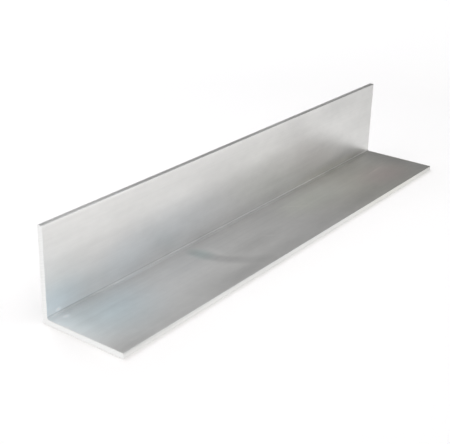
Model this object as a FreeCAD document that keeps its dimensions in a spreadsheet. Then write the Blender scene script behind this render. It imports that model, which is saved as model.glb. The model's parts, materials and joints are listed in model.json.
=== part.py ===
"""Equal-leg aluminium angle, extruded and sawn to length.

The bar lies on one leg, and the other stands up along its far side. +X runs along the bar, +Y
points from the toe of the flat leg to the back of the upright leg, and +Z is up. The origin is
under the middle of the flat leg, on the face that the bar rests on. Sizes are in millimetres.
"""

import FreeCAD, Part
import math
import os

import Sketcher

# Driving dimensions of the bar: name, size in millimetres, what it is.
SIZES = [
    ("bar_length", 300.0, "between the sawn ends"),
    ("flat_leg_width", 50.0, "flat leg, from its toe to the back of the upright leg"),
    ("upright_leg_height", 50.0, "upright leg, from the underside of the bar to its toe"),
    ("flat_leg_wall", 3.0, "wall of the flat leg"),
    ("upright_leg_wall", 3.0, "wall of the upright leg"),
    ("root_radius", 1.0, "fillet in the inside corner"),
    ("heel_radius", 0.5, "rounding of the outside corner"),
    ("toe_radius", 0.5, "rounding of both corners of each toe"),
    ("end_break", 0.2, "burr taken off round each sawn end"),
]

NODE = "angle_section"
PARTS_FOLDER = "parts"

# How a sketch numbers its level axis and the two ends of a line or arc. Its origin is the
# start of that axis.
LEVEL_AXIS, START, END = -1, 1, 2
ORIGIN = (LEVEL_AXIS, START)


def make_sheet(doc):
    """The table of driving dimensions, one row each: name, size, what it is."""
    sheet = doc.addObject("Spreadsheet::Sheet", "Sizes")
    for row, (name, size, meaning) in enumerate(SIZES, start=1):
        sheet.set(f"A{row}", name)
        sheet.set(f"B{row}", str(size))
        sheet.set(f"C{row}", meaning)
        sheet.setAlias(f"B{row}", name)
    doc.recompute()
    return sheet


def origin_plane(body, role):
    """One of the body's own origin planes, such as YZ_Plane."""
    for feature in body.Origin.OriginFeatures:
        if feature.Role == role:
            return feature
    raise ValueError(f"the body has no {role}")


def section_corners(sheet):
    """Corners of the section before rounding, anticlockwise from the toe of the flat leg.

    Each is its name, its place across and up, and the size that rounds it.
    """
    toe = -sheet.flat_leg_width / 2
    back = sheet.flat_leg_width / 2
    inner_face = back - sheet.upright_leg_wall
    top = sheet.upright_leg_height
    seat = sheet.flat_leg_wall
    return [
        ("flat_toe_bottom", toe, 0.0, "toe_radius"),
        ("heel", back, 0.0, "heel_radius"),
        ("upright_toe_back", back, top, "toe_radius"),
        ("upright_toe_inside", inner_face, top, "toe_radius"),
        ("root", inner_face, seat, "root_radius"),
        ("flat_toe_top", toe, seat, "toe_radius"),
    ]


def unit(vector):
    """The vector at length one."""
    return FreeCAD.Vector(vector).normalize()


def corner_arc(corner, before, after, radius):
    """The arc that rounds a square corner, and its ends on the side before and after it."""
    to_before = unit(before - corner)
    to_after = unit(after - corner)
    start = corner + to_before * radius
    end = corner + to_after * radius
    centre = corner + (to_before + to_after) * radius
    middle = centre - unit(to_before + to_after) * radius
    return Part.Arc(start, middle, end), start, end


def draw_outline(sketch, corners, radii):
    """Draws the rounded outline, and returns the numbers of its arcs and of its sides.

    Arc k rounds corner k, and side k runs from corner k to the next one.
    """
    places = [FreeCAD.Vector(across, up, 0) for _, across, up, _ in corners]
    following = places[1:] + places[:1]
    preceding = places[-1:] + places[:-1]
    rounded = [corner_arc(*corner) for corner in zip(places, preceding, following, radii)]
    arcs = [sketch.addGeometry(arc) for arc, _, _ in rounded]
    sides = []
    for (_, _, leaves), (_, arrives, _) in zip(rounded, rounded[1:] + rounded[:1]):
        sides.append(sketch.addGeometry(Part.LineSegment(leaves, arrives)))
    return arcs, sides


def end_near(sketch, geometry, point):
    """Which end of an arc lies at the point."""
    to_start = (sketch.getPoint(geometry, START) - point).Length
    to_end = (sketch.getPoint(geometry, END) - point).Length
    return START if to_start < to_end else END


def join_smoothly(sketch, arcs, sides):
    """Makes each side run tangent into the arcs at both of its ends."""
    next_arcs = arcs[1:] + arcs[:1]
    for side, arc_before, arc_after in zip(sides, arcs, next_arcs):
        for side_end, arc in ((START, arc_before), (END, arc_after)):
            arc_end = end_near(sketch, arc, sketch.getPoint(side, side_end))
            sketch.addConstraint(Sketcher.Constraint("Tangent", side, side_end, arc, arc_end))


def square_up(sketch, sides):
    """Makes the sides level and upright by turns, starting with the underside."""
    for side in sides[0::2]:
        sketch.addConstraint(Sketcher.Constraint("Horizontal", side))
    for side in sides[1::2]:
        sketch.addConstraint(Sketcher.Constraint("Vertical", side))


def dimension(sketch, name, kind, between, size, formula):
    """Adds a dimension under a name, and ties it to the table of sizes by a formula."""
    number = sketch.addConstraint(Sketcher.Constraint(kind, *between, size))
    sketch.renameConstraint(number, name)
    sketch.setExpression(f"Constraints.{name}", formula)


def place_sides(sketch, sides, sheet):
    """Stands the section on the level axis, centres its flat leg and sets legs and walls."""
    underside, back, top, inner_face, seat, toe = [(side, START) for side in sides]
    sketch.addConstraint(Sketcher.Constraint("PointOnObject", *underside, LEVEL_AXIS))

    half_width = sheet.flat_leg_width / 2
    half = "Sizes.flat_leg_width / 2"
    dimension(sketch, "toe_to_middle", "DistanceX", toe + ORIGIN, half_width, half)
    dimension(sketch, "middle_to_back", "DistanceX", ORIGIN + back, half_width, half)

    wall = sheet.upright_leg_wall
    wall_cell = "Sizes.upright_leg_wall"
    dimension(sketch, "upright_wall", "DistanceX", inner_face + back, wall, wall_cell)

    wall = sheet.flat_leg_wall
    dimension(sketch, "flat_wall", "DistanceY", ORIGIN + seat, wall, "Sizes.flat_leg_wall")

    height = sheet.upright_leg_height
    height_cell = "Sizes.upright_leg_height"
    dimension(sketch, "leg_height", "DistanceY", ORIGIN + top, height, height_cell)


def draw_section(body, sheet):
    """The section as the die cuts it: two legs, a root fillet and rounded heel and toes."""
    sketch = body.newObject("Sketcher::SketchObject", "Section")
    sketch.AttachmentSupport = (origin_plane(body, "YZ_Plane"), "")
    sketch.MapMode = "FlatFace"
    corners = section_corners(sheet)
    radii = [float(getattr(sheet, cell)) for _, _, _, cell in corners]
    arcs, sides = draw_outline(sketch, corners, radii)
    join_smoothly(sketch, arcs, sides)
    square_up(sketch, sides)
    place_sides(sketch, sides, sheet)
    for arc, radius, (name, _, _, cell) in zip(arcs, radii, corners):
        dimension(sketch, f"{name}_radius", "Radius", (arc,), radius, f"Sizes.{cell}")
    return sketch


def sawn_ends(shape):
    """Names of the two flat faces that the saw left, square to the bar."""
    names = []
    for number, face in enumerate(shape.Faces, start=1):
        if math.isclose(abs(face.normalAt(0, 0).x), 1.0):
            names.append(f"Face{number}")
    return names


def make_bar(doc, sheet):
    """The extruded length, with the burr taken off round both sawn ends."""
    body = doc.addObject("PartDesign::Body", "Bar")
    body.Label = NODE
    section = draw_section(body, sheet)
    doc.recompute()

    extrusion = body.newObject("PartDesign::Pad", "Extrusion")
    extrusion.Profile = section
    extrusion.SideType = "Symmetric"
    extrusion.setExpression("Length", "Sizes.bar_length")
    doc.recompute()

    broken_edges = body.newObject("PartDesign::Chamfer", "BrokenEdges")
    broken_edges.Base = (extrusion, sawn_ends(extrusion.Shape))
    broken_edges.setExpression("Size", "Sizes.end_break")
    body.Tip = broken_edges
    doc.recompute()
    return body


def section_area(sheet):
    """Area of the rounded section worked out by hand, to set the solid against."""
    standing = sheet.upright_leg_height - sheet.flat_leg_wall
    legs = sheet.flat_leg_width * sheet.flat_leg_wall + standing * sheet.upright_leg_wall
    corner_share = 1 - math.pi / 4
    rounded_off = 4 * sheet.toe_radius**2 + sheet.heel_radius**2
    return legs + corner_share * (sheet.root_radius**2 - rounded_off)


def check(doc, bodies, sheet):
    """Stops the build on a failed feature or a shape that isn't one sound solid."""
    for thing in doc.Objects:
        if "Invalid" in thing.State or "Error" in thing.State:
            raise RuntimeError(f"{thing.Label} failed to build: {thing.State}")
    for body in bodies:
        if body.Shape.isNull() or not body.Shape.isValid():
            raise RuntimeError(f"{body.Label} has no sound shape")
        box = body.Shape.BoundBox
        print(f"{body.Label}: {len(body.Shape.Solids)} solid, {len(body.Shape.Faces)} faces")
        print(f"  size {box.XLength:.3f} x {box.YLength:.3f} x {box.ZLength:.3f} mm")
        print(f"  volume {body.Shape.Volume:.1f} mm3")
        print(f"  section times length {section_area(sheet) * sheet.bar_length:.1f} mm3")


def main():
    doc = FreeCAD.newDocument("AngleSection")
    sheet = make_sheet(doc)
    bodies = [make_bar(doc, sheet)]
    check(doc, bodies, sheet)
    os.makedirs(PARTS_FOLDER, exist_ok=True)
    for body in bodies:
        body.Shape.exportStep(os.path.join(PARTS_FOLDER, f"{body.Label}.step"))


main()
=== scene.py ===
"""Looks of a length of mill-finish aluminium angle that lies on one leg on a white table.

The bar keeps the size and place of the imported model: +X along the bar, +Y from the toe of the
flat leg to the back of the upright leg, +Z up. Lengths are metres, and MM turns millimetres to
them. Tables of marks, stretches and places are in millimetres, because they are easier to read.
"""

import json
import math

import bpy
from mathutils import Matrix, Vector


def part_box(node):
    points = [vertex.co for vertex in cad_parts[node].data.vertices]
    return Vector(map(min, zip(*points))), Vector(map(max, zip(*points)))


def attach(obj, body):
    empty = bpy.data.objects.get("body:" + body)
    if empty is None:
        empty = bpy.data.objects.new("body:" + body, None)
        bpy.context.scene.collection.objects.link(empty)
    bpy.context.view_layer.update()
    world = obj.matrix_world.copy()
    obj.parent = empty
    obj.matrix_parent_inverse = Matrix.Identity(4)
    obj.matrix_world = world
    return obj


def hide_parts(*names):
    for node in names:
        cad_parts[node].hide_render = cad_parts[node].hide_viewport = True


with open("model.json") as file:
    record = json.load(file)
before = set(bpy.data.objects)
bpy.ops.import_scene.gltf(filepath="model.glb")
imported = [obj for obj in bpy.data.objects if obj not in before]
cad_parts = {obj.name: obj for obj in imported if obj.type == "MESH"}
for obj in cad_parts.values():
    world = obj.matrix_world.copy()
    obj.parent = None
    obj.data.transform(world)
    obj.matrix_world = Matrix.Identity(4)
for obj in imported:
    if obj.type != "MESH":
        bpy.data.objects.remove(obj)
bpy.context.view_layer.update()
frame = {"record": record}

MM = 0.001
NODE = "angle_section"
BODY = "root"

# The bar's box, and its walls from the faces that the mounts lie on.
low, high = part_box(NODE)
mounts = {mount["name"]: Vector(mount["pos_m"]) for mount in frame["record"]["mounts"]}
FLAT_WALL = mounts["flat_leg_inside"].z - low.z
UPRIGHT_WALL = high.y - mounts["upright_leg_inside"].y
ROOT_RADIUS = 1.0 * MM

# Edges that turn by more than this stay crisp. The small steps of an arc turn by less.
CRISP_TURN = math.radians(30.0)


def add(tree, kind, inputs=None, more_items=0, **settings):
    """Adds a node with its settings. An input is a plain value, or the socket that feeds it.

    more_items is how many choices an index switch gets past its first two.
    """
    node = tree.nodes.new(kind)
    for name, value in settings.items():
        setattr(node, name, value)
    for _ in range(more_items):
        node.index_switch_items.new()
    for key, value in (inputs or {}).items():
        if isinstance(value, bpy.types.NodeSocket):
            tree.links.new(value, node.inputs[key])
        else:
            node.inputs[key].default_value = value
    return node


def linear(hex_colour):
    """An sRGB colour such as "#D8DADC" as linear red, green, blue and alpha."""
    channels = [int(hex_colour[k : k + 2], 16) / 255 for k in (1, 3, 5)]
    return [c / 12.92 if c <= 0.04045 else ((c + 0.055) / 1.055) ** 2.4 for c in channels] + [1.0]


# The bar, swept by Geometry Nodes.

BAR_INPUTS = [
    ("Length", "NodeSocketFloat"),
    ("Flat Leg", "NodeSocketFloat"),
    ("Upright Leg", "NodeSocketFloat"),
    ("Flat Wall", "NodeSocketFloat"),
    ("Upright Wall", "NodeSocketFloat"),
    ("Root Radius", "NodeSocketFloat"),
    ("Heel Radius", "NodeSocketFloat"),
    ("Toe Radius", "NodeSocketFloat"),
    ("End Break", "NodeSocketFloat"),
    ("Arc Steps", "NodeSocketInt"),
    ("Outline Step", "NodeSocketFloat"),
    ("Stations", "NodeSocketInt"),
    ("Die Line Width", "NodeSocketFloat"),
    ("Die Line Length", "NodeSocketFloat"),
    ("Die Line Depth", "NodeSocketFloat"),
    ("Wave Width", "NodeSocketFloat"),
    ("Wave Length", "NodeSocketFloat"),
    ("Wave Depth", "NodeSocketFloat"),
    ("Seed", "NodeSocketFloat"),
    ("Mill Finish", "NodeSocketMaterial"),
    ("Sawn Finish", "NodeSocketMaterial"),
]


def section_outline(tree, given):
    """The closed outline of the section, across in X and up in Y, with its corners rounded."""
    half_leg = add(tree, "ShaderNodeMath", {0: given["Flat Leg"], 1: 0.5}, operation="MULTIPLY")
    back = half_leg.outputs[0]
    toe = add(tree, "ShaderNodeMath", {0: back, 1: -1.0}, operation="MULTIPLY").outputs[0]
    inner = add(tree, "ShaderNodeMath", {0: back, 1: given["Upright Wall"]}, operation="SUBTRACT")
    inside = inner.outputs[0]
    seat = given["Flat Wall"]
    top = given["Upright Leg"]
    places = [(toe, 0.0), (back, 0.0), (back, top), (inside, top), (inside, seat), (toe, seat)]
    radii = ["Toe Radius", "Heel Radius", "Toe Radius", "Toe Radius", "Root Radius", "Toe Radius"]

    number = add(tree, "GeometryNodeInputIndex").outputs[0]
    corners = {"Index": number}
    for k, (across, up) in enumerate(places):
        corners[str(k)] = add(tree, "ShaderNodeCombineXYZ", {0: across, 1: up}).outputs[0]
    spare = len(places) - 2
    corner = add(tree, "GeometryNodeIndexSwitch", corners, spare, data_type="VECTOR").outputs[0]
    rounding = {"Index": number} | {str(k): given[name] for k, name in enumerate(radii)}
    radius = add(tree, "GeometryNodeIndexSwitch", rounding, spare, data_type="FLOAT").outputs[0]

    points = add(tree, "GeometryNodeMeshLine", {"Count": len(places)}).outputs[0]
    placed = add(tree, "GeometryNodeSetPosition", {"Geometry": points, "Position": corner})
    line = add(tree, "GeometryNodeMeshToCurve", {"Mesh": placed.outputs[0]}).outputs[0]
    ring = add(tree, "GeometryNodeSetSplineCyclic", {"Geometry": line, "Cyclic": True}).outputs[0]
    rounded = add(
        tree,
        "GeometryNodeFilletCurve",
        {"Curve": ring, "Count": given["Arc Steps"], "Radius": radius},
        mode="POLY",
    ).outputs[0]

    # Each straight side is cut into steps. The arcs' own short sides are left as they are.
    count = add(tree, "GeometryNodeSplineLength").outputs["Point Count"]
    following = add(tree, "ShaderNodeMath", {0: number, 1: 1.0}, operation="ADD").outputs[0]
    wrapped = add(tree, "ShaderNodeMath", {0: following, 1: count}, operation="MODULO").outputs[0]
    here = add(tree, "GeometryNodeInputPosition").outputs[0]
    there = add(
        tree,
        "GeometryNodeFieldAtIndex",
        {"Value": here, "Index": wrapped},
        data_type="FLOAT_VECTOR",
    ).outputs[0]
    side = add(tree, "ShaderNodeVectorMath", {0: here, 1: there}, operation="DISTANCE")
    steps = {0: side.outputs["Value"], 1: given["Outline Step"]}
    cuts = add(tree, "ShaderNodeMath", steps, operation="DIVIDE").outputs[0]
    return add(tree, "GeometryNodeSubdivideCurve", {"Curve": rounded, "Cuts": cuts}).outputs[0]


def bar_path(tree, given, half_length):
    """The line that the section is swept along, with a station at each side of an end break.

    The stations are evenly spaced from break to break, with one more past each of them, and
    those two are brought back to the sawn faces.
    """
    body = {0: half_length, 1: given["End Break"]}
    body = add(tree, "ShaderNodeMath", body, operation="SUBTRACT").outputs[0]
    gaps = add(tree, "ShaderNodeMath", {0: given["Stations"], 1: 1.0}, operation="SUBTRACT")
    inner_gaps = add(tree, "ShaderNodeMath", {0: given["Stations"], 1: 3.0}, operation="SUBTRACT")
    share = {0: gaps.outputs[0], 1: inner_gaps.outputs[0]}
    stretch = add(tree, "ShaderNodeMath", share, operation="DIVIDE").outputs[0]
    reach = {0: body, 1: stretch}
    reach = add(tree, "ShaderNodeMath", reach, operation="MULTIPLY").outputs[0]
    back_reach = add(tree, "ShaderNodeMath", {0: reach, 1: -1.0}, operation="MULTIPLY").outputs[0]
    start = add(tree, "ShaderNodeCombineXYZ", {0: back_reach}).outputs[0]
    end = add(tree, "ShaderNodeCombineXYZ", {0: reach}).outputs[0]
    line = add(tree, "GeometryNodeCurvePrimitiveLine", {"Start": start, "End": end}).outputs[0]
    even = add(tree, "GeometryNodeResampleCurve", {"Curve": line, "Count": given["Stations"]})

    place = add(tree, "GeometryNodeInputPosition").outputs[0]
    along = add(tree, "ShaderNodeSeparateXYZ", {0: place}).outputs["X"]
    near_face = add(tree, "ShaderNodeMath", {0: half_length, 1: -1.0}, operation="MULTIPLY")
    limits = {"Value": along, "Min": near_face.outputs[0], "Max": half_length}
    kept = add(tree, "ShaderNodeClamp", limits).outputs[0]
    station = add(tree, "ShaderNodeCombineXYZ", {0: kept}).outputs[0]
    path = add(tree, "GeometryNodeSetPosition", {"Geometry": even.outputs[0], "Position": station})

    # Half a turn of tilt stands the outline the right way up.
    turned = add(tree, "GeometryNodeSetCurveTilt", {"Curve": path.outputs[0], "Tilt": math.pi})
    return turned.outputs[0]


def long_noise(tree, place, width, length, seed):
    """Noise from 0 to 1 that is drawn out along the bar, so wide and so long."""
    per_width = add(tree, "ShaderNodeMath", {0: 1.0, 1: width}, operation="DIVIDE").outputs[0]
    per_length = add(tree, "ShaderNodeMath", {0: 1.0, 1: length}, operation="DIVIDE").outputs[0]
    scale = add(tree, "ShaderNodeCombineXYZ", {0: per_length, 1: per_width, 2: per_width})
    drawn = {0: place, 1: scale.outputs[0]}
    drawn = add(tree, "ShaderNodeVectorMath", drawn, operation="MULTIPLY").outputs[0]
    noise = {"Vector": drawn, "W": seed, "Scale": 1.0, "Detail": 2.0}
    return add(tree, "ShaderNodeTexNoise", noise, noise_dimensions="4D").outputs["Fac"]


def bar_tree():
    """Sweeps the section down the bar, lays the die's lines in it and breaks the sawn edges."""
    tree = bpy.data.node_groups.new("extruded_angle", "GeometryNodeTree")
    for name, kind in BAR_INPUTS:
        tree.interface.new_socket(name=name, in_out="INPUT", socket_type=kind)
    tree.interface.new_socket(name="Bar", in_out="OUTPUT", socket_type="NodeSocketGeometry")
    given = add(tree, "NodeGroupInput").outputs

    half = {0: given["Length"], 1: 0.5}
    half = add(tree, "ShaderNodeMath", half, operation="MULTIPLY").outputs[0]
    outline = section_outline(tree, given)
    path = bar_path(tree, given, half)
    sweep = {"Curve": path, "Profile Curve": outline}
    tube = add(tree, "GeometryNodeCurveToMesh", sweep).outputs[0]
    solid = add(tree, "GeometryNodeCurveToMesh", sweep | {"Fill Caps": True}).outputs[0]

    # The open tube's normals point straight out of the section, also at its two ends.
    normal = add(tree, "GeometryNodeInputNormal").outputs[0]
    number = add(tree, "GeometryNodeInputIndex").outputs[0]
    outward = add(
        tree,
        "GeometryNodeSampleIndex",
        {"Geometry": tube, "Value": normal, "Index": number},
        data_type="FLOAT_VECTOR",
    ).outputs[0]

    place = add(tree, "GeometryNodeInputPosition").outputs[0]
    seed = given["Seed"]
    lines = long_noise(tree, place, given["Die Line Width"], given["Die Line Length"], seed)
    waves = long_noise(tree, place, given["Wave Width"], given["Wave Length"], seed)
    line_cut = {0: lines, 1: given["Die Line Depth"]}
    line_cut = add(tree, "ShaderNodeMath", line_cut, operation="MULTIPLY").outputs[0]
    relief = {0: waves, 1: given["Wave Depth"], 2: line_cut}
    relief = add(tree, "ShaderNodeMath", relief, operation="MULTIPLY_ADD").outputs[0]

    along = add(tree, "ShaderNodeSeparateXYZ", {0: place}).outputs["X"]
    from_middle = add(tree, "ShaderNodeMath", {0: along}, operation="ABSOLUTE").outputs[0]
    to_face = add(tree, "ShaderNodeMath", {0: half, 1: from_middle}, operation="SUBTRACT")
    close = add(tree, "ShaderNodeMath", {0: given["End Break"], 1: 0.5}, operation="MULTIPLY")
    at_face = {0: to_face.outputs[0], 1: close.outputs[0]}
    at_face = add(tree, "ShaderNodeMath", at_face, operation="LESS_THAN").outputs[0]
    inset = {0: at_face, 1: given["End Break"], 2: relief}
    inset = add(tree, "ShaderNodeMath", inset, operation="MULTIPLY_ADD").outputs[0]
    inward = add(tree, "ShaderNodeMath", {0: inset, 1: -1.0}, operation="MULTIPLY").outputs[0]
    shift = {0: outward, "Scale": inward}
    shift = add(tree, "ShaderNodeVectorMath", shift, operation="SCALE").outputs[0]
    worked = add(tree, "GeometryNodeSetPosition", {"Geometry": solid, "Offset": shift}).outputs[0]

    turn = add(tree, "GeometryNodeInputMeshEdgeAngle").outputs["Unsigned Angle"]
    crisp = {0: turn, 1: CRISP_TURN}
    crisp = add(tree, "ShaderNodeMath", crisp, operation="GREATER_THAN").outputs[0]
    edges = {"Geometry": worked, "Selection": crisp, "Shade Smooth": False}
    shaded = add(tree, "GeometryNodeSetShadeSmooth", edges, domain="EDGE").outputs[0]

    real = add(tree, "GeometryNodeRealizeInstances", {"Geometry": shaded}).outputs[0]
    milled = {"Geometry": real, "Material": given["Mill Finish"]}
    milled = add(tree, "GeometryNodeSetMaterial", milled).outputs[0]
    facing = add(tree, "ShaderNodeSeparateXYZ", {0: normal}).outputs["X"]
    facing = add(tree, "ShaderNodeMath", {0: facing}, operation="ABSOLUTE").outputs[0]
    # Only the two sawn faces point along the bar.
    sawn = add(tree, "ShaderNodeMath", {0: facing, 1: 0.5}, operation="GREATER_THAN").outputs[0]
    finished = {"Geometry": milled, "Selection": sawn, "Material": given["Sawn Finish"]}
    finished = add(tree, "GeometryNodeSetMaterial", finished).outputs[0]
    add(tree, "NodeGroupOutput", {0: finished})
    return tree


def sweep_bar(mill_finish, sawn_finish):
    """The bar as a plain mesh in place of the CAD node.

    Real die lines are about 0.1 mm wide. The relief draws them wider, as the finish does.
    """
    sizes = {
        "Length": high.x - low.x,
        "Flat Leg": high.y - low.y,
        "Upright Leg": high.z - low.z,
        "Flat Wall": FLAT_WALL,
        "Upright Wall": UPRIGHT_WALL,
        "Root Radius": ROOT_RADIUS,
        "Heel Radius": 0.5 * MM,
        "Toe Radius": 0.5 * MM,
        "End Break": 0.2 * MM,
        "Arc Steps": 6,
        "Outline Step": 0.5 * MM,
        "Stations": 78,
        "Die Line Width": 1.6 * MM,
        "Die Line Length": 900.0 * MM,
        "Die Line Depth": 0.006 * MM,
        "Wave Width": 14.0 * MM,
        "Wave Length": 160.0 * MM,
        "Wave Depth": 0.03 * MM,
        "Seed": 3.0,
        "Mill Finish": mill_finish,
        "Sawn Finish": sawn_finish,
    }
    source = bpy.data.objects.new("bar_source", bpy.data.meshes.new("bar_source"))
    bpy.context.scene.collection.objects.link(source)
    modifier = source.modifiers.new("extruded_angle", "NODES")
    modifier.node_group = bar_tree()
    for socket in modifier.node_group.interface.items_tree:
        if socket.in_out == "INPUT":
            modifier[socket.identifier] = sizes[socket.name]
    evaluated = source.evaluated_get(bpy.context.evaluated_depsgraph_get())
    bar = bpy.data.objects.new("extruded_bar", bpy.data.meshes.new_from_object(evaluated))
    bpy.context.scene.collection.objects.link(bar)
    bpy.data.objects.remove(source)
    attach(bar, BODY)
    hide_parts(NODE)
    return bar


# Finishes.


def new_material(name):
    """An empty node material. Returns it with its tree."""
    material = bpy.data.materials.new(name)
    material.use_nodes = True
    material.node_tree.nodes.clear()
    return material, material.node_tree


def streaks(tree, place, width, length, detail, seed):
    """Noise from 0 to 1, drawn out along the bar to lines so wide and so long in millimetres."""
    per_width = 1 / (width * MM)
    drawn = {"Vector": place, "Scale": (1 / (length * MM), per_width, per_width)}
    drawn = add(tree, "ShaderNodeMapping", drawn).outputs[0]
    noise = {"Vector": drawn, "W": seed, "Scale": 1.0, "Detail": detail, "Roughness": 0.6}
    return add(tree, "ShaderNodeTexNoise", noise, noise_dimensions="4D").outputs["Fac"]


def spot(tree, place, centre, reach, turn):
    """A soft mask, one at the centre and nothing at its reach. Millimetres, turned in degrees."""
    fitted = {
        "Vector": place,
        "Location": [part * MM for part in centre],
        "Rotation": [math.radians(part) for part in turn],
        "Scale": [part * MM for part in reach],
    }
    fitted = add(tree, "ShaderNodeMapping", fitted, vector_type="TEXTURE").outputs[0]
    away = add(tree, "ShaderNodeVectorMath", {0: fitted}, operation="LENGTH").outputs["Value"]
    fade = {"Value": away, "From Min": 1.0, "From Max": 0.0}
    return add(tree, "ShaderNodeMapRange", fade, interpolation_type="SMOOTHSTEP").outputs[0]


# The wipe mark's oval: its centre and half axes, and how far its line wanders, in millimetres.
SMEAR_CENTRE = (-18.5, 16.5, 3.0)
SMEAR_AXES = (32.0, 35.5, 1.5)
SMEAR_WANDER = (3.0, 3.0, 0.0)


def wiped_smear(tree, place):
    """A curved wipe mark across the flat leg: a quarter of an oval band that fades at its tail."""
    # The line wanders in waves of about 11 mm.
    wander = {"Vector": place, "Scale": 90.0, "Detail": 1.0}
    wander = add(tree, "ShaderNodeTexNoise", wander, noise_dimensions="3D").outputs["Color"]
    wander = {0: wander, 1: [part * MM for part in SMEAR_WANDER], 2: place}
    moved = add(tree, "ShaderNodeVectorMath", wander, operation="MULTIPLY_ADD").outputs[0]
    fitted = {
        "Vector": moved,
        "Location": [part * MM for part in SMEAR_CENTRE],
        "Scale": [part * MM for part in SMEAR_AXES],
    }
    fitted = add(tree, "ShaderNodeMapping", fitted, vector_type="TEXTURE").outputs[0]
    parts = add(tree, "ShaderNodeSeparateXYZ", {0: fitted}).outputs
    level = add(tree, "ShaderNodeCombineXYZ", {0: parts["X"], 1: parts["Y"]}).outputs[0]
    away = add(tree, "ShaderNodeVectorMath", {0: level}, operation="LENGTH").outputs["Value"]
    off = add(tree, "ShaderNodeMath", {0: away, 1: 1.0}, operation="SUBTRACT").outputs[0]
    off = add(tree, "ShaderNodeMath", {0: off}, operation="ABSOLUTE").outputs[0]
    # It fades off its line, at its head and tail, and below the face. Shares of the half axes.
    mask = 1.0
    for value, none_at, full_at in (
        (off, 0.17, 0.02),
        (parts["X"], -0.15, -0.80),
        (parts["Y"], 0.12, -0.05),
        (parts["Z"], -1.0, -0.5),
    ):
        fade = {"Value": value, "From Min": none_at, "From Max": full_at, "To Max": mask}
        mask = add(tree, "ShaderNodeMapRange", fade, interpolation_type="SMOOTHSTEP").outputs[0]
    return mask


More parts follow.
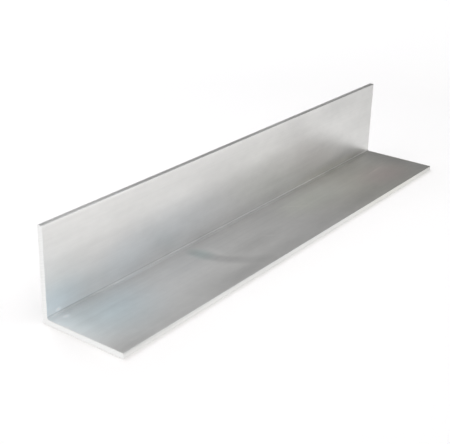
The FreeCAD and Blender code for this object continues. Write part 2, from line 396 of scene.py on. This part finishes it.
# Marks and patches of the skin: centre and reach of a soft spot in millimetres, its turn in
# degrees, and how much lighter or darker the metal is there. They were tuned to the
# photograph's tones, and those of the back are made up.
# Most of these are painted light: patches of painted reflection and painted shade that copy the
# tones the metal shows, and a painted reflection of a pale fleck. The scratches and wipes at the
# end are marks on the metal.
SCRATCHES_AND_PAINTED_LIGHT = [
    # A pale fleck on the upright leg beside the near end of the root, and its painted reflection in
    # the flat leg.
    ((-142.7, 22.0, 5.3), (2.6, 1.0, 1.6), (0, 0, 0), 0.25),
    ((-142.2, 17.4, 3.0), (3.0, 2.0, 1.0), (0, 0, 0), 0.22),
    # Paler patches at the near end: painted light, for the brighter light that falls on that end.
    ((-152.0, 9.0, 3.0), (17.0, 22.0, 3.0), (0, 0, 0), 0.24),
    ((-151.0, 22.0, 19.0), (24.0, 1.5, 26.0), (0, 0, 0), 0.12),
    # Paler patches of the upright leg: painted reflection, matched to the tones it reflects.
    ((-112.0, 22.0, 28.0), (112.0, 1.5, 16.0), (0, 0, 0), 0.11),
    ((18.0, 22.0, 35.0), (50.0, 1.5, 10.0), (0, 0, 0), 0.06),
    ((-60.0, 22.0, 30.0), (44.0, 1.5, 22.0), (0, 0, 0), 0.10),
    ((-126.0, 22.0, 19.0), (22.0, 1.5, 12.0), (0, 0, 0), 0.07),
    ((-115.0, 22.0, 42.0), (60.0, 1.5, 12.0), (0, 0, 0), 0.05),
    ((-88.0, 22.0, 18.0), (50.0, 1.5, 12.0), (0, 0, 0), 0.03),
    ((106.0, 22.0, 15.0), (20.0, 1.5, 8.0), (0, 0, 0), 0.06),
    # Darker patches of the upright leg, along the root and towards the far end: painted shade and
    # painted reflection.
    ((26.0, 22.0, 14.0), (66.0, 1.5, 8.0), (0, 0, 0), -0.05),
    ((-45.0, 22.0, 2.0), (130.0, 1.5, 14.0), (0, 0, 0), -0.10),
    ((-84.0, 22.0, 6.0), (34.0, 1.5, 7.0), (0, 0, 0), -0.09),
    ((34.0, 22.0, 5.0), (90.0, 1.5, 8.0), (0, 0, 0), -0.20),
    ((-36.0, 22.0, 5.0), (26.0, 1.5, 5.0), (0, 0, 0), -0.09),
    ((108.0, 22.0, 5.5), (34.0, 1.5, 8.0), (0, 0, 0), -0.25),
    ((134.0, 22.0, 4.0), (22.0, 1.5, 6.0), (0, 0, 0), -0.27),
    ((78.0, 22.0, 5.0), (24.0, 1.5, 6.0), (0, 0, 0), -0.07),
    ((70.0, 22.0, 18.0), (30.0, 1.5, 8.0), (0, 0, 0), -0.08),
    ((146.0, 22.0, 24.0), (56.0, 1.5, 26.0), (0, 0, 0), -0.10),
    ((152.0, 22.0, 52.0), (90.0, 2.0, 34.0), (0, 0, 0), -0.14),
    ((56.0, 22.0, 46.0), (28.0, 1.5, 16.0), (0, 0, 0), -0.08),
    ((100.0, 22.0, 46.0), (40.0, 1.5, 16.0), (0, 0, 0), -0.10),
    # Darker patches of the back: painted shade, which gives it mid-tones like the front's
    # reflections.
    ((70.0, 25.0, 22.0), (190.0, 1.5, 44.0), (0, 0, 0), -0.16),
    ((-120.0, 25.0, 34.0), (90.0, 1.5, 26.0), (0, 0, 0), -0.12),
    ((-60.0, 25.0, 6.0), (120.0, 1.5, 14.0), (0, 0, 0), -0.10),
    ((128.0, 25.0, 40.0), (60.0, 1.5, 16.0), (0, 0, 0), -0.08),
    # Darker patches: painted shade in the root, and painted reflection on the flat leg.
    ((-128.0, 21.7, 3.2), (42.0, 1.1, 0.9), (0, 0, 0), -0.12),
    ((-128.0, -6.0, 3.0), (28.0, 12.0, 2.0), (0, 0, 0), -0.08),
    ((-120.0, -22.0, 3.0), (90.0, 20.0, 2.0), (0, 0, 0), -0.12),
    ((-148.0, -23.0, 3.0), (24.0, 14.0, 1.0), (0, 0, 0), -0.14),
    ((-52.0, -20.0, 3.0), (38.0, 8.0, 1.0), (0, 0, 0), -0.13),
    ((-12.0, -19.0, 3.0), (24.0, 8.0, 2.0), (0, 0, 0), -0.07),
    ((-24.0, -4.0, 3.0), (36.0, 10.0, 2.0), (0, 0, 0), -0.18),
    ((130.0, 22.0, 3.0), (44.0, 6.0, 2.0), (0, 0, 0), -0.03),
    ((152.0, 6.0, 3.0), (26.0, 40.0, 2.0), (0, 0, 0), -0.15),
    # Paler patches of the flat leg: painted reflection.
    ((-43.5, 8.0, 3.0), (4.0, 11.0, 1.0), (0, 0, 0), 0.06),
    ((62.0, 8.0, 3.0), (56.0, 16.0, 2.0), (0, 0, 0), 0.16),
    ((128.0, -4.0, 3.0), (22.0, 9.0, 1.0), (0, 0, 0), 0.07),
    ((80.0, -3.0, 3.0), (20.0, 8.0, 1.0), (0, 0, 0), 0.06),
    ((80.0, 21.0, 3.0), (26.0, 7.0, 1.0), (0, 0, 0), 0.15),
    ((80.0, -25.0, 3.0), (84.0, 8.0, 1.0), (0, 0, 0), 0.13),
    # Both toes, lighter here and darker there: painted reflection.
    ((-140.0, -25.0, 1.5), (60.0, 1.0, 2.2), (0, 0, 0), -0.08),
    ((152.0, -25.0, 1.5), (30.0, 1.0, 2.2), (0, 0, 0), -0.16),
    ((-125.0, 23.5, 50.0), (90.0, 4.0, 2.0), (0, 0, 0), 0.12),
    ((0.0, 23.5, 50.0), (320.0, 4.0, 2.0), (0, 0, 0), 0.07),
    ((-98.0, 23.5, 50.0), (16.0, 4.0, 1.5), (0, 0, 0), 0.12),
    ((20.0, 23.5, 50.0), (14.0, 4.0, 1.5), (0, 0, 0), -0.12),
    ((144.0, 23.5, 50.0), (14.0, 4.0, 1.5), (0, 0, 0), -0.16),
    # Scratches and wipes.
    ((34.0, 8.0, 3.0), (15.0, 0.9, 1.0), (0, 0, -41), 0.07),
    ((-8.0, -5.0, 3.0), (9.0, 2.0, 1.0), (0, 0, -45), 0.05),
    ((119.0, -0.5, 3.0), (16.0, 1.6, 1.0), (0, 0, 3), 0.10),
    ((40.0, 25.0, 30.0), (26.0, 1.0, 0.7), (0, 14, 0), 0.10),
    ((-70.0, 25.0, 18.0), (14.0, 1.0, 0.8), (0, -38, 0), 0.09),
    ((-18.0, 25.0, 36.0), (30.0, 1.0, 8.0), (0, 8, 0), -0.06),
]


# The clean skin's colour, and faint tints: centre and reach of a soft spot in millimetres, and its
# colour. Blue-grey at the near end and on the upright leg is a painted reflection of cool light
# from that side, and straw and rose at the far end are a painted reflection of warmer surroundings.
# Olive further on and sea-green at the head of the wipe mark are tints of the skin.
CLEAN_SKIN = "#EBEAE8"
SKIN_TINTS_AND_PAINTED_REFLECTIONS = [
    ((-128.0, 4.5, 3.0), (44.0, 31.0, 4.0), "#E0EAED"),
    ((-148.0, 22.0, 8.0), (36.0, 3.0, 16.0), "#E5EBEE"),
    ((-68.0, 22.0, 16.0), (76.0, 3.0, 22.0), "#E8EAEB"),
    ((-96.0, 22.0, 11.0), (30.0, 3.0, 18.0), "#E6EAEC"),
    ((100.0, 0.0, 3.0), (90.0, 60.0, 8.0), "#EDEBE2"),
    ((118.0, -8.0, 3.0), (34.0, 20.0, 6.0), "#F1E7E2"),
    ((50.0, 5.0, 3.0), (46.0, 19.0, 3.0), "#EAEBE3"),
    ((-51.0, 10.0, 3.0), (8.0, 12.0, 2.0), "#E3EBE8"),
]

# The skin's tone is 1 at the near end and falls evenly to this at the far end, painted shade for
# the light that falls off towards the far end. What follows is added to it.
FAR_END_TONE = 0.86
SMEAR_TONE = -0.15
RUBBED_TONE = 0.08

# How squarely a surface faces its nearest axis, where rubbing starts and where it is full.
RUBBED_FROM = 0.98
RUBBED_FULL = 0.85

# Painted shade in the root: its tone where it is thin, what its lumps add to that, how wide a lump
# is, and how far it lies from the middle of the fillet, from full to none, in millimetres.
ROOT_SHADE_TONE = -0.08
ROOT_SHADE_LUMP_TONE = -0.14
ROOT_SHADE_LUMP = 9.0
ROOT_SHADE_FULL = 0.45
ROOT_SHADE_NONE = 1.15

# Stretches of the bar where there is more painted shade in the root or less: where the change
# starts and where it is whole, in millimetres along the bar, and the tone that it adds.
ROOT_SHADE_STRETCHES = [
    (10.0, -50.0, -0.06),
    (-100.0, -140.0, -0.07),
    (62.0, 84.0, -0.07),
    (112.0, 140.0, 0.14),
]

# The paler band beside the root, a painted highlight.
ROOT_HIGHLIGHT_TONE = 0.15

# Roughness: the least and the most that the clouds of oxide give, what the finest lines add,
# and what the wipe mark takes off.
LEAST_ROUGH = 0.28
MOST_ROUGH = 0.37
LINE_ROUGH = 0.05
SMEAR_ROUGH = -0.05

# How deep the finish draws the finest lines, in millimetres.
LINE_RELIEF = 0.004


def rubbed_corners(tree, tone):
    """Corners turn away from all three axes, and handling rubs them a little brighter."""
    facing = add(tree, "ShaderNodeTexCoord").outputs["Normal"]
    facing = add(tree, "ShaderNodeVectorMath", {0: facing}, operation="ABSOLUTE").outputs[0]
    facing = add(tree, "ShaderNodeSeparateXYZ", {0: facing}).outputs
    squarest = {0: facing["X"], 1: facing["Y"]}
    squarest = add(tree, "ShaderNodeMath", squarest, operation="MAXIMUM").outputs[0]
    squarest = {0: squarest, 1: facing["Z"]}
    squarest = add(tree, "ShaderNodeMath", squarest, operation="MAXIMUM").outputs[0]
    rubbed = {"Value": squarest, "From Min": RUBBED_FROM, "From Max": RUBBED_FULL}
    rubbed["To Max"] = RUBBED_TONE
    rubbed = add(tree, "ShaderNodeMapRange", rubbed).outputs[0]
    return add(tree, "ShaderNodeMath", {0: tone, 1: rubbed}, operation="ADD").outputs[0]


def root_shade_and_highlight(tree, place, parts, tone):
    """Painted shade in the root, and a paler band on the flat leg beside it, a painted highlight.

    The shade lies unevenly. Most of it is at the near end, where the band is missing, and the least
    is at the far end.
    """
    middle = (0.0, high.y - UPRIGHT_WALL, FLAT_WALL + ROOT_RADIUS / 2)
    from_root = {0: place, 1: (0.0, 1.0, 1.0)}
    from_root = add(tree, "ShaderNodeVectorMath", from_root, operation="MULTIPLY").outputs[0]
    from_root = {0: from_root, 1: middle}
    from_root = add(tree, "ShaderNodeVectorMath", from_root, operation="DISTANCE")
    away = from_root.outputs["Value"]

    lumps = {"Vector": place, "Scale": 1 / (ROOT_SHADE_LUMP * MM), "Detail": 1.0}
    lumps = add(tree, "ShaderNodeTexNoise", lumps).outputs["Fac"]
    amount = {0: lumps, 1: ROOT_SHADE_LUMP_TONE, 2: ROOT_SHADE_TONE}
    amount = add(tree, "ShaderNodeMath", amount, operation="MULTIPLY_ADD").outputs[0]
    for none_at, full_at, change in ROOT_SHADE_STRETCHES:
        fade = {"Value": parts["X"], "From Min": none_at * MM, "From Max": full_at * MM}
        fade["To Max"] = change
        fade = add(tree, "ShaderNodeMapRange", fade, interpolation_type="SMOOTHSTEP").outputs[0]
        amount = add(tree, "ShaderNodeMath", {0: amount, 1: fade}, operation="ADD").outputs[0]
    painted_crease_shade = {"Value": away, "From Min": ROOT_SHADE_FULL * MM, "From Max": ROOT_SHADE_NONE * MM}
    painted_crease_shade |= {"To Min": amount, "To Max": 0.0}
    painted_crease_shade = add(tree, "ShaderNodeMapRange", painted_crease_shade, interpolation_type="SMOOTHSTEP").outputs[0]
    tone = add(tree, "ShaderNodeMath", {0: tone, 1: painted_crease_shade}, operation="ADD").outputs[0]

    # The painted highlight lies between the painted shade and the open face, no higher than the
    # fillet, and fades out towards the near end. Millimetres.
    root_highlight = ROOT_HIGHLIGHT_TONE
    for value, none_at, full_at in (
        (away, 2.6, 1.4),
        (away, 0.4, 0.8),
        (parts["Z"], 4.2, 3.2),
        (parts["X"], -125.0, -80.0),
    ):
        fade = {"Value": value, "From Min": none_at * MM, "From Max": full_at * MM, "To Max": root_highlight}
        root_highlight = add(tree, "ShaderNodeMapRange", fade, interpolation_type="SMOOTHSTEP").outputs[0]
    return add(tree, "ShaderNodeMath", {0: tone, 1: root_highlight}, operation="ADD").outputs[0]


def mill_aluminium():
    """Extruded aluminium alloy as it leaves the die, not anodised or polished.

    A satin metal. The die draws it into fine lengthwise lines that spread reflections across
    the bar, a thin cloudy oxide dulls it unevenly, and edges are rubbed brighter. Its colour also
    holds painted light: a tone that falls towards the far end, painted reflection and shade in
    most of its patches and tints, and painted shade in the root with a painted highlight beside it.
    """
    material, tree = new_material("mill_finish_aluminium")
    place = add(tree, "ShaderNodeTexCoord").outputs["Object"]

    # Die lines are about 0.1 mm wide. They are drawn ten times as coarse, so that they show.
    fine = streaks(tree, place, width=1.0, length=700.0, detail=2.0, seed=1.0)
    broad = streaks(tree, place, width=5.0, length=500.0, detail=2.0, seed=4.0)
    # Clouds of oxide, about two centimetres wide and twice as long, and a finer mottle in them.
    clouds = streaks(tree, place, width=18.0, length=45.0, detail=3.0, seed=7.0)
    mottle = streaks(tree, place, width=3.5, length=7.0, detail=2.0, seed=11.0)

    parts = add(tree, "ShaderNodeSeparateXYZ", {0: place}).outputs
    # Painted shade: the tone falls from the near end to the far end, as the light does.
    painted_falloff = {"Value": parts["X"], "From Min": low.x, "From Max": high.x}
    painted_falloff |= {"To Min": 1.0, "To Max": FAR_END_TONE}
    tone = add(tree, "ShaderNodeMapRange", painted_falloff).outputs[0]
    # Each pattern swings the tone this far up and down.
    for pattern, swing in ((fine, 0.035), (broad, 0.07), (clouds, 0.08), (mottle, 0.05)):
        centred = add(tree, "ShaderNodeMath", {0: pattern, 1: 0.5}, operation="SUBTRACT").outputs[0]
        shade = {0: centred, 1: swing * 2, 2: tone}
        tone = add(tree, "ShaderNodeMath", shade, operation="MULTIPLY_ADD").outputs[0]
    # Patches of painted reflection and painted shade, and scratches and wipes.
    for centre, reach, turn, change in SCRATCHES_AND_PAINTED_LIGHT:
        mask = spot(tree, place, centre, reach, turn)
        shade = {0: mask, 1: change, 2: tone}
        tone = add(tree, "ShaderNodeMath", shade, operation="MULTIPLY_ADD").outputs[0]
    smear = wiped_smear(tree, place)
    shade = {0: smear, 1: SMEAR_TONE, 2: tone}
    tone = add(tree, "ShaderNodeMath", shade, operation="MULTIPLY_ADD").outputs[0]
    tone = rubbed_corners(tree, tone)
    # Painted shade in the root and a painted highlight beside it.
    tone = root_shade_and_highlight(tree, place, parts, tone)

    colour = linear(CLEAN_SKIN)
    # Tints, most of them painted reflections of coloured light.
    for centre, reach, tint in SKIN_TINTS_AND_PAINTED_REFLECTIONS:
        mask = spot(tree, place, centre, reach, (0, 0, 0))
        mixed = {"Factor": mask, 6: colour, 7: linear(tint)}
        colour = add(tree, "ShaderNodeMix", mixed, data_type="RGBA").outputs[2]
    skin = {0: colour, "Scale": tone}
    skin = add(tree, "ShaderNodeVectorMath", skin, operation="SCALE").outputs[0]

    # The clouds' noise seldom leaves 0.3 to 0.7.
    dull = {"Value": clouds, "From Min": 0.3, "From Max": 0.7}
    dull |= {"To Min": LEAST_ROUGH, "To Max": MOST_ROUGH}
    dull = add(tree, "ShaderNodeMapRange", dull).outputs[0]
    gloss = {0: fine, 1: LINE_ROUGH, 2: dull}
    gloss = add(tree, "ShaderNodeMath", gloss, operation="MULTIPLY_ADD").outputs[0]
    gloss = {0: smear, 1: SMEAR_ROUGH, 2: gloss}
    gloss = add(tree, "ShaderNodeMath", gloss, operation="MULTIPLY_ADD").outputs[0]

    relief = {"Strength": 1.0, "Distance": LINE_RELIEF * MM, "Height": fine}
    relief = add(tree, "ShaderNodeBump", relief).outputs[0]
    # The tangent lies across the bar on every long face.
    across = add(tree, "ShaderNodeTangent", direction_type="RADIAL", axis="X").outputs[0]
    shader = add(
        tree,
        "ShaderNodeBsdfPrincipled",
        {
            "Base Color": skin,
            "Metallic": 1.0,
            "Roughness": gloss,
            "Anisotropic": 0.5,
            "Tangent": across,
            "Normal": relief,
        },
    )
    add(tree, "ShaderNodeOutputMaterial", {"Surface": shader.outputs[0]})
    return material


# The saw, in millimetres: its axis, seen along the bar, how far apart its marks are drawn, and
# how deep. Real ones are 0.2 mm apart, too fine to show.
SAW_AXIS = (0.0, 70.0, 150.0)
SAW_PITCH = 0.8
SAW_RELIEF = 0.012


def sawn_aluminium():
    """Aluminium cut by a circular saw: brighter than the skin, and matt.

    The blade leaves arcs across the face that catch the light in turn.
    """
    material, tree = new_material("sawn_aluminium")
    place = add(tree, "ShaderNodeTexCoord").outputs["Object"]
    # The blade's axis stood above and behind the bar.
    axis = [part * MM for part in SAW_AXIS]
    flat = {0: place, 1: (0.0, 1.0, 1.0)}
    flat = add(tree, "ShaderNodeVectorMath", flat, operation="MULTIPLY").outputs[0]
    sweep = add(tree, "ShaderNodeVectorMath", {0: flat, 1: axis}, operation="DISTANCE")
    pitches = {0: sweep.outputs["Value"], 1: 1 / (SAW_PITCH * MM)}
    pitches = add(tree, "ShaderNodeMath", pitches, operation="MULTIPLY").outputs[0]
    arcs = {"W": pitches, "Scale": 1.0, "Detail": 2.0}
    arcs = add(tree, "ShaderNodeTexNoise", arcs, noise_dimensions="1D").outputs["Fac"]

    mixed = {"Factor": arcs, 6: linear("#EDEDEC"), 7: linear("#FAFAF9")}
    colour = add(tree, "ShaderNodeMix", mixed, data_type="RGBA").outputs[2]
    gloss = {"Value": arcs, "To Min": 0.38, "To Max": 0.52}
    gloss = add(tree, "ShaderNodeMapRange", gloss).outputs[0]
    relief = {"Strength": 1.0, "Distance": SAW_RELIEF * MM, "Height": arcs}
    relief = add(tree, "ShaderNodeBump", relief).outputs[0]
    shader = add(
        tree,
        "ShaderNodeBsdfPrincipled",
        {"Base Color": colour, "Metallic": 1.0, "Roughness": gloss, "Normal": relief},
    )
    add(tree, "ShaderNodeOutputMaterial", {"Surface": shader.outputs[0]})
    return material


# The table, the lamps and the camera.


# The table reaches this far each way, in metres. Away from the bar it glows for the camera: from
# where, to where, and how brightly.
TABLE_REACH = 12.0
GLOW_FROM = 0.3
GLOW_FULL = 2.5
GLOW = 0.8


def white_table():
    """A wide white table, plain, that runs to the horizon.

    It is matt. The camera sees it stay white where the lamps no longer reach, and close to the
    bar it has only their light, so that it keeps the bar's shadow. Mirrors and glass see it white.
    """
    mesh = bpy.data.meshes.new("table_top")
    ways = ((-1, -1), (1, -1), (1, 1), (-1, 1))
    corners = [(x * TABLE_REACH, y * TABLE_REACH, 0) for x, y in ways]
    mesh.from_pydata(corners, [], [(0, 1, 2, 3)])
    material, tree = new_material("white_table")
    matt = add(tree, "ShaderNodeBsdfDiffuse", {"Color": linear("#FCFAF9")}).outputs[0]
    ray = add(tree, "ShaderNodeLightPath").outputs
    place = add(tree, "ShaderNodeTexCoord").outputs["Object"]
    away = add(tree, "ShaderNodeVectorMath", {0: place}, operation="LENGTH").outputs["Value"]
    glow = {"Value": away, "From Min": GLOW_FROM, "From Max": GLOW_FULL, "To Max": GLOW}
    glow = add(tree, "ShaderNodeMapRange", glow).outputs[0]
    glow = {0: glow, 1: ray["Is Camera Ray"]}
    glow = add(tree, "ShaderNodeMath", glow, operation="MULTIPLY").outputs[0]
    glow = add(tree, "ShaderNodeEmission", {"Strength": glow}).outputs[0]
    lit = add(tree, "ShaderNodeAddShader", {0: matt, 1: glow}).outputs[0]
    mirrored = {0: ray["Is Glossy Ray"], 1: ray["Is Transmission Ray"]}
    mirrored = add(tree, "ShaderNodeMath", mirrored, operation="MAXIMUM").outputs[0]
    white = add(tree, "ShaderNodeEmission", {"Strength": 1.0}).outputs[0]
    surface = add(tree, "ShaderNodeMixShader", {0: mirrored, 1: lit, 2: white}).outputs[0]
    add(tree, "ShaderNodeOutputMaterial", {"Surface": surface})
    mesh.materials.append(material)
    table = bpy.data.objects.new("table", mesh)
    bpy.context.scene.collection.objects.link(table)


# Square soft lamps that face the bar: heading from +X towards +Y and height in degrees,
# distance and side in metres, brightness where 1 is white, and colour. The brightnesses are the
# results of a least-squares fit, mainly to the photograph's tones. That of back_wide stands for
# two of its lamps.
LAMPS = [
    ("overhead", 0, 89, 1.6, 2.4, 0.47, "#FFFFFF"),
    ("overhead_right", 0, 58, 1.6, 1.1, 0.22, "#FFFFFF"),
    ("overhead_front", -90, 62, 1.6, 1.1, 1.30, "#FFFFFF"),
    ("back", 85, 50, 1.6, 0.75, 2.00, "#F6FAFF"),
    ("back_wide", 86, 48, 1.6, 1.4, 1.07, "#F6FAFF"),
    ("window_left", 163, 38, 1.6, 1.2, 0.90, "#FFFFFF"),
    ("front_left", -140, 35, 1.6, 1.1, 0.83, "#FFFFFF"),
    ("fill_front_right", -52, 27, 1.5, 1.2, 0.39, "#F2F7FF"),
]

# The dim room round the table: height above the level in degrees, and brightness, which comes
# from the same fit. A white wall stands before it up to a height of its own.
ROOM = [(14, 0.02), (22, 0.05), (35, 0.33), (50, 0.18), (70, 0.62), (90, 0.0)]
WALL_TOP = 14.2
WALL_FADE = 1.0


def soft_lamp(name, heading, height, distance, side, brightness, colour):
    """A square lamp that faces the bar's middle and shows as bright as is asked."""
    lamp = bpy.data.lights.new(name, "AREA")
    lamp.shape = "SQUARE"
    lamp.size = side
    lamp.energy = brightness * math.pi * side**2
    lamp.color = linear(colour)[:3]
    level = math.cos(math.radians(height))
    way = Vector((
        level * math.cos(math.radians(heading)),
        level * math.sin(math.radians(heading)),
        math.sin(math.radians(height)),
    ))
    stand = bpy.data.objects.new(name, lamp)
    stand.location = way * distance
    stand.rotation_euler = way.to_track_quat("Z", "Y").to_euler()
    bpy.context.scene.collection.objects.link(stand)


def dim_room():
    """The room as a dome of grey that changes with height only, over a low white wall.

    The wall is what the camera, mirrors and glass see. It sheds no light on matt things.
    """
    world = bpy.data.worlds.new("studio")
    bpy.context.scene.world = world
    world.use_nodes = True
    tree = world.node_tree
    tree.nodes.clear()
    way = add(tree, "ShaderNodeTexCoord").outputs["Generated"]
    rise = add(tree, "ShaderNodeSeparateXYZ", {0: way}).outputs["Z"]
    level = ROOM[0][1]
    for (lower, dark), (upper, light) in zip(ROOM, ROOM[1:]):
        step = {"Value": rise, "From Min": math.sin(math.radians(lower))}
        step |= {"From Max": math.sin(math.radians(upper)), "To Max": light - dark}
        step = add(tree, "ShaderNodeMapRange", step).outputs[0]
        level = add(tree, "ShaderNodeMath", {0: step, 1: level}, operation="ADD").outputs[0]
    ray = add(tree, "ShaderNodeLightPath").outputs
    seen = {0: ray["Is Camera Ray"], 1: ray["Is Glossy Ray"]}
    seen = add(tree, "ShaderNodeMath", seen, operation="MAXIMUM").outputs[0]
    seen = {0: seen, 1: ray["Is Transmission Ray"]}
    seen = add(tree, "ShaderNodeMath", seen, operation="MAXIMUM").outputs[0]
    wall = {"Value": rise, "From Min": math.sin(math.radians(WALL_TOP + WALL_FADE))}
    wall |= {"From Max": math.sin(math.radians(WALL_TOP - WALL_FADE)), "To Max": seen}
    wall = add(tree, "ShaderNodeMapRange", wall).outputs[0]
    level = add(tree, "ShaderNodeMix", {0: wall, 2: level, 3: 1.0}, data_type="FLOAT").outputs[0]
    grey = {"Color": linear("#FFFFFF"), "Strength": level}
    dome = add(tree, "ShaderNodeBackground", grey).outputs[0]
    add(tree, "ShaderNodeOutputWorld", {"Surface": dome})


# Where the photograph was taken from: the camera's place, heading from +X towards +Y, fall
# below level, roll to the right, and a lens that suits a 36 mm frame. They come from a fit to the
# straight edges of the bar.
CAMERA_PLACE = Vector((-416.2, -273.1, 227.6)) * MM
CAMERA_HEADING = math.radians(36.25)
CAMERA_FALL = math.radians(24.01)
CAMERA_ROLL = math.radians(1.43)
CAMERA_LENS = 77.85


def photograph_camera():
    """The camera at the photograph's own viewpoint, with no shift."""
    view = Vector((
        math.cos(CAMERA_HEADING) * math.cos(CAMERA_FALL),
        math.sin(CAMERA_HEADING) * math.cos(CAMERA_FALL),
        -math.sin(CAMERA_FALL),
    ))
    level = Vector((math.sin(CAMERA_HEADING), -math.cos(CAMERA_HEADING), 0.0))
    upright = level.cross(view)
    right = level * math.cos(CAMERA_ROLL) + upright * math.sin(CAMERA_ROLL)
    up = upright * math.cos(CAMERA_ROLL) - level * math.sin(CAMERA_ROLL)
    camera = bpy.data.objects.new("camera", bpy.data.cameras.new("camera"))
    camera.data.lens = CAMERA_LENS
    turn = Matrix((right, up, -view)).transposed().to_4x4()
    camera.matrix_world = Matrix.Translation(CAMERA_PLACE) @ turn
    bpy.context.scene.collection.objects.link(camera)
    bpy.context.scene.camera = camera


photograph_camera()
dim_room()
for lamp in LAMPS:
    soft_lamp(*lamp)
white_table()
sweep_bar(mill_aluminium(), sawn_aluminium())
bpy.context.scene.view_settings.view_transform = "Standard"
